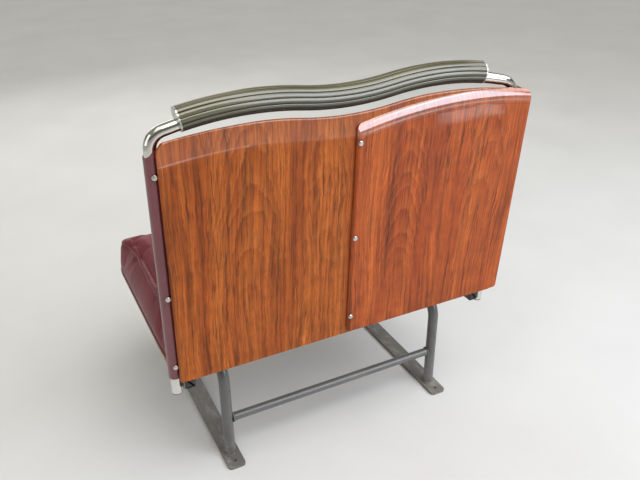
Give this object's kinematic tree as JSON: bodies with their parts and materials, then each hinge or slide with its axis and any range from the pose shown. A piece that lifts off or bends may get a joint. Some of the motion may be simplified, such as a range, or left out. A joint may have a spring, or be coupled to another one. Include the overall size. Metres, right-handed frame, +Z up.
{
  "type": "bus passenger double seat",
  "caption": "Double bus passenger seat: veneered back with a raised shell, ribbed grip on a bent chrome rail, leatherette cushions and tubular leg frames with floor rails.",
  "frame": {"origin": "middle of the bounding box at floor level", "axes": "+Z up, +X to the aisle side, the seat faces -Y and its veneered back faces +Y"},
  "size_m": [0.9, 0.6222, 0.9796],
  "materials": {
    "veneer": "gloss lacquer over vertical grain",
    "plywood": "matt",
    "chrome": "polished",
    "grip": "satin, ribbed lengthways",
    "grip_cap": "satin",
    "leatherette": "satin, fine grain",
    "painted_steel": "semi-gloss enamel",
    "screw": "polished dome"
  },
  "bodies": {
    "root": {"grab_rail_frame_tube": "chrome", "grip_pad": "grip", "grip_end_cap_aisle": "grip_cap", "grip_end_cap_window": "grip_cap", "upright_cover_aisle": "leatherette", "upright_cover_window": "leatherette", "wood_back_panel": "veneer", "window_side_back_shell": "veneer", "backrest_core_board": "plywood", "back_cushion_aisle": "leatherette", "back_cushion_window": "leatherette", "seat_cushion_aisle": "leatherette", "seat_cushion_window": "leatherette", "seat_pan_board": "plywood", "seat_side_rail_aisle": "painted_steel", "seat_side_rail_window": "painted_steel", "seat_cross_rail_front": "painted_steel", "seat_cross_rail_rear": "painted_steel", "upright_bracket_aisle": "painted_steel", "upright_bracket_window": "painted_steel", "leg_frame_aisle": "painted_steel", "leg_frame_window": "painted_steel", "foot_rail_aisle": "painted_steel", "foot_rail_window": "painted_steel", "rear_leg_stretcher": "painted_steel", "leg_bearer_front": "painted_steel", "leg_bearer_rear": "painted_steel", "leg_clamp_aisle_front": "painted_steel", "leg_clamp_aisle_rear": "painted_steel", "leg_clamp_window_front": "painted_steel", "leg_clamp_window_rear": "painted_steel", "cover_screws_aisle": "screw", "shell_screws_inner": "screw"}
  },
  "joints": []
}
